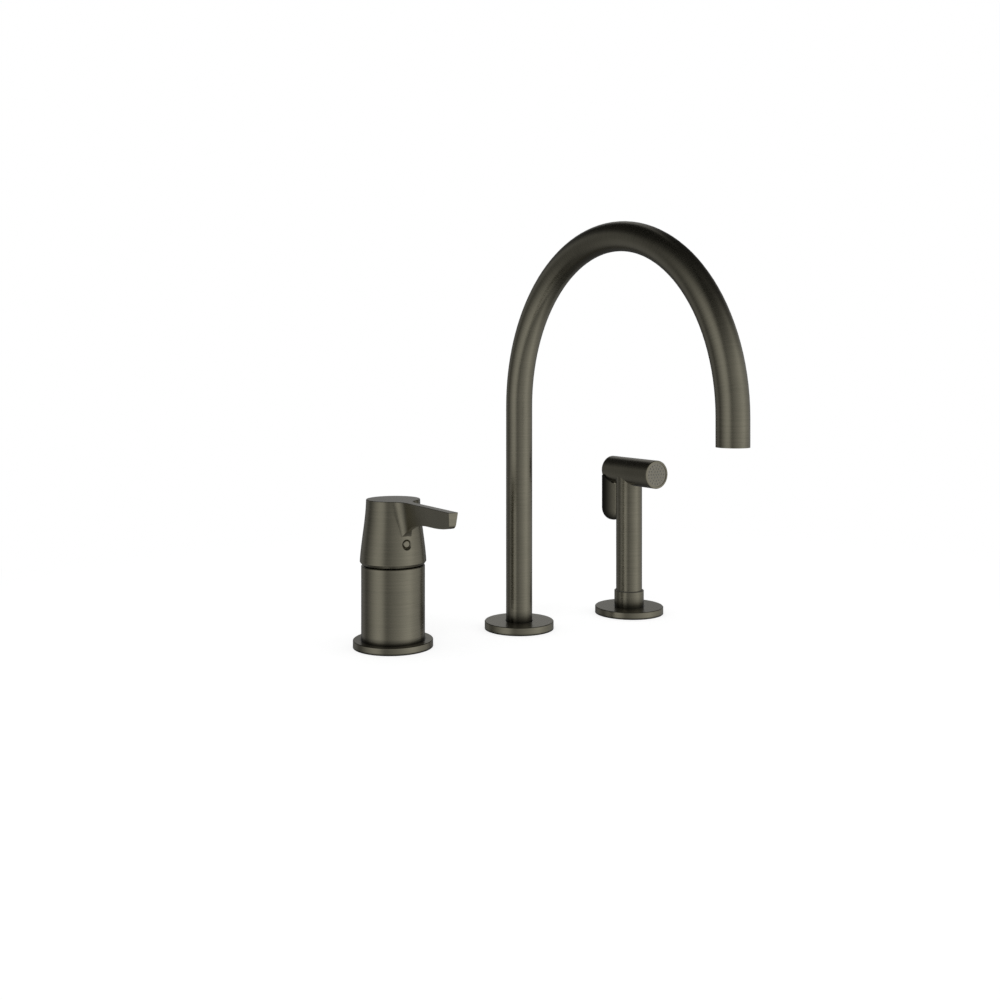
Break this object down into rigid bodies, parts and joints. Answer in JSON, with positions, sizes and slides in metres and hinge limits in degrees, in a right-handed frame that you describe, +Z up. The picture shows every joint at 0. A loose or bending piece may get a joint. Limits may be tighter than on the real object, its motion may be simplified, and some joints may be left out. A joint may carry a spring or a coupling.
{
  "type": "side spray kitchen faucet",
  "caption": "Deck-mounted kitchen faucet in a row: single lever mixer with a flared handle, high arched swivel spout and a pull-out side spray with a trigger.",
  "frame": {"origin": "on the deck's top face, on the spout's upright axis", "axes": "+Z up; +X along the row, from the mixer to the spray; -Y towards the user, the way the spout points"},
  "size_m": [0.2683, 0.2736, 0.3742],
  "materials": {
    "brushed_gunmetal": "brushed gunmetal plating",
    "dark_trim": "dark satin",
    "face_plate_metal": "satin",
    "raw_brass": "turned, unplated",
    "stainless": "bright",
    "black_rubber": "matt",
    "grey_silicone": "matt",
    "white_acetal": "moulded",
    "grey_nylon": "moulded",
    "alumina": "ground ceramic"
  },
  "bodies": {
    "deck_fittings": {"mixer_flange": "brushed_gunmetal", "mixer_flange_gasket": "black_rubber", "mixer_sleeve": "brushed_gunmetal", "mixer_valve_body": "raw_brass", "mixer_shank": "raw_brass", "cartridge_base": "grey_nylon", "cartridge_port_seals": "black_rubber", "cartridge_housing": "grey_nylon", "cartridge_nut": "raw_brass", "ceramic_disc_fixed": "alumina", "dome_cap": "dark_trim", "spout_flange": "brushed_gunmetal", "spout_flange_gasket": "black_rubber", "spout_shank": "raw_brass", "spout_retaining_ring": "stainless", "spout_inlet_nipple": "raw_brass", "diverter_spring": "stainless", "spray_flange": "brushed_gunmetal", "spray_flange_gasket": "black_rubber", "spray_collar": "brushed_gunmetal", "spray_guide_ring": "white_acetal", "spray_shank": "raw_brass", "deck_gaskets": "black_rubber", "deck_washers": "stainless", "backnuts": "raw_brass"},
    "spout": {"spout_tube": "brushed_gunmetal", "spout_spigot": "raw_brass", "spout_bearing_rings": "white_acetal", "spout_orings": "black_rubber", "aerator_housing": "brushed_gunmetal", "aerator_insert": "grey_nylon", "aerator_seal": "black_rubber"},
    "diverter": {"diverter_piston": "white_acetal"},
    "rotor": {"cartridge_rotor": "grey_nylon", "cartridge_stem_pin": "stainless"},
    "lever": {"mixer_handle": "brushed_gunmetal", "handle_plug": "brushed_gunmetal", "handle_screw": "stainless", "cartridge_stem": "stainless"},
    "disc_slider": {"ceramic_disc_moving": "alumina", "disc_carrier": "grey_nylon"},
    "hose_swivel": {"spray_swivel": "raw_brass"},
    "handset": {"spray_body": "brushed_gunmetal", "spray_nozzle_ring": "brushed_gunmetal", "spray_face_plate": "face_plate_metal", "spray_nozzle_mat": "grey_silicone", "spray_valve_housing": "white_acetal", "valve_retainer": "white_acetal", "spray_rear_cap": "brushed_gunmetal", "trigger_pin": "stainless", "plunger_spring": "stainless"},
    "trigger": {"spray_trigger": "brushed_gunmetal"},
    "plunger": {"spray_plunger": "stainless", "plunger_seal": "black_rubber"}
  },
  "joints": [
    {"name": "spout_swivel", "type": "hinge", "parent": "deck_fittings", "child": "spout", "pos_m": [0, 0, 0], "axis": [0, 0, 1], "range_deg": [-90, 90]},
    {"name": "diverter_lift", "type": "slide", "parent": "deck_fittings", "child": "diverter", "axis": [0, 0, 1], "range_m": [0, 0.0022], "stiffness_N_per_m": 150, "springref_m": -0.002, "deforming": ["diverter_spring"]},
    {"name": "mixer_turn", "type": "hinge", "parent": "deck_fittings", "child": "rotor", "pos_m": [-0.1065, 0, 0], "axis": [0, 0, 1], "range_deg": [-45, 45]},
    {"name": "mixer_tilt", "type": "hinge", "parent": "rotor", "child": "lever", "pos_m": [-0.1065, 0, 0.066], "axis": [-1, 0, 0], "range_deg": [0, 15]},
    {"name": "disc_slide", "type": "slide", "parent": "rotor", "child": "disc_slider", "axis": [0, -1, 0], "range_m": [0, 0.0046]},
    {"name": "spray_lift", "type": "slide", "parent": "deck_fittings", "child": "hose_swivel", "axis": [0, 0, 1], "range_m": [0, 0.06]},
    {"name": "spray_turn", "type": "hinge", "parent": "hose_swivel", "child": "handset", "pos_m": [0.1057, 0, 0], "axis": [0, 0, 1], "continuous": true},
    {"name": "trigger_squeeze", "type": "hinge", "parent": "handset", "child": "trigger", "pos_m": [0.1057, 0.01875, 0.1205], "axis": [-1, 0, 0], "range_deg": [0, 4], "stiffness_Nm_per_rad": 1.2, "springref_deg": -3.44},
    {"name": "plunger_push", "type": "slide", "parent": "handset", "child": "plunger", "axis": [0, -1, 0], "range_m": [0, 0.0007], "deforming": ["plunger_spring"]}
  ],
  "couplings": [
    {"joint": "disc_slide", "follows": "mixer_tilt", "m_per_rad": 0.017301},
    {"joint": "plunger_push", "follows": "trigger_squeeze", "m_per_rad": 0.0096}
  ]
}
